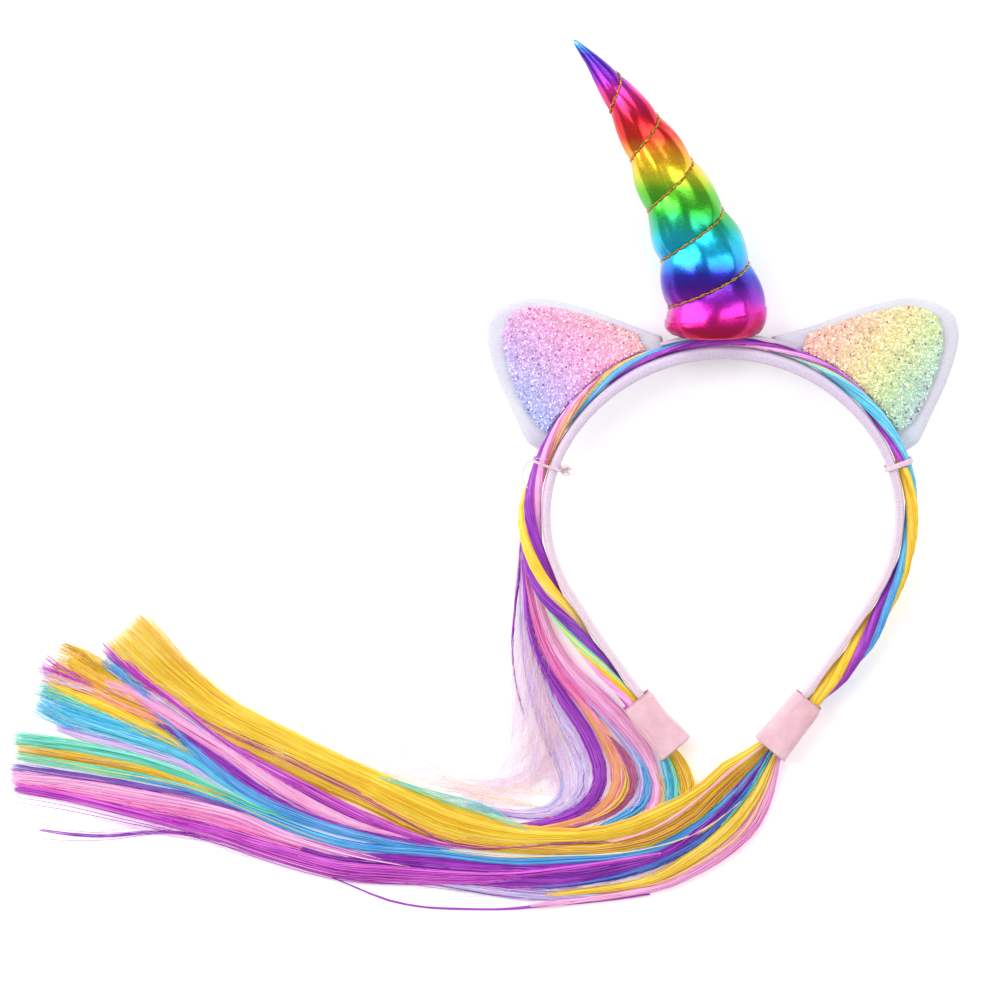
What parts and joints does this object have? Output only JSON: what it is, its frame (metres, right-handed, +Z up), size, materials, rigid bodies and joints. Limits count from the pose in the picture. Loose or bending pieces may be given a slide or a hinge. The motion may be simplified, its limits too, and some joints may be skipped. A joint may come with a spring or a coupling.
{
  "type": "unicorn horn headband",
  "caption": "Alice band with a stuffed spiral horn, two ears and twisted synthetic hair that falls from sleeves near its ends; worn on the head.",
  "frame": {"origin": "centre of the overall box, on the floor it lies on", "axes": "+X to the right of the laid-down band, +Y from its open ends to its crown and horn, +Z up from the floor"},
  "size_m": [0.3396, 0.31, 0.0384],
  "materials": {
    "ribbon": "fine ribbed weave",
    "foil": "glossy metallic, coloured bands",
    "gold_thread": "twisted metallic",
    "felt": "matte",
    "plush": "soft short pile",
    "glitter": "coarse glitter",
    "hair_yellow": "silky",
    "hair_blue": "silky",
    "hair_purple": "silky",
    "hair_pink": "silky",
    "tie_thread": "translucent",
    "satin": "soft satin"
  },
  "bodies": {
    "root": {"ear_left": "plush", "ear_panel_left": "glitter", "ear_panel_right": "glitter", "ear_right": "plush", "hair_fall_left": "hair_blue", "hair_fall_right": "hair_yellow", "hair_fall_side": "hair_pink", "headband": "ribbon", "horn_cover": "foil", "horn_felt": "felt", "horn_thread": "gold_thread", "sleeve_left": "satin", "sleeve_right": "satin", "tie_left": "tie_thread", "tie_right": "tie_thread", "twist_blue": "hair_blue", "twist_pink": "hair_pink", "twist_purple": "hair_purple", "twist_yellow": "hair_yellow"}
  },
  "joints": []
}
